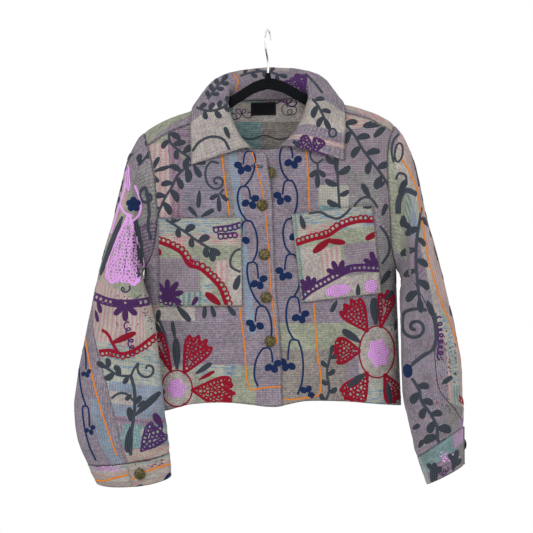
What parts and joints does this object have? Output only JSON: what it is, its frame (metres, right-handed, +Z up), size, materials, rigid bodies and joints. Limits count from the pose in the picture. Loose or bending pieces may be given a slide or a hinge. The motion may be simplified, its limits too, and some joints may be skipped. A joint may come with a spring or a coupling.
{
  "type": "jacket on a hanger",
  "caption": "Cropped quilted patchwork jacket with embroidered vines, a shirt collar, patch pockets and buttoned cuffs, hanging on a slim velvet hanger with a wire hook.",
  "frame": {"origin": "the point inside the top of the hanger's hook that bears on a rail", "axes": "+Z up; +X to the viewer's right as the jacket is seen from the front, which is the wearer's left; -Y towards the viewer in front of the jacket"},
  "size_m": [0.6549, 0.1772, 0.7652],
  "materials": {
    "quilted_cloth": "quilted patchwork cotton with embroidery",
    "pieced_cloth": "pieced cotton, stitched in rows",
    "aged_brass": "darkened",
    "flocking": "black flocked",
    "bright_wire": "polished",
    "label_tape": "woven tape, bare"
  },
  "bodies": {
    "root": {"back": "quilted_cloth", "button_cuff_left": "aged_brass", "button_cuff_right": "aged_brass", "button_front_1": "aged_brass", "button_front_2": "aged_brass", "button_front_3": "aged_brass", "button_front_4": "aged_brass", "button_front_5": "aged_brass", "collar": "pieced_cloth", "cuff_left": "pieced_cloth", "cuff_right": "pieced_cloth", "front_left": "quilted_cloth", "front_right": "quilted_cloth", "hanger_arms": "flocking", "hanger_hook": "bright_wire", "neck_label": "label_tape", "pocket_left": "pieced_cloth", "pocket_right": "pieced_cloth", "sleeve_left_under": "quilted_cloth", "sleeve_left_upper": "quilted_cloth", "sleeve_right_under": "quilted_cloth", "sleeve_right_upper": "quilted_cloth"}
  },
  "joints": []
}
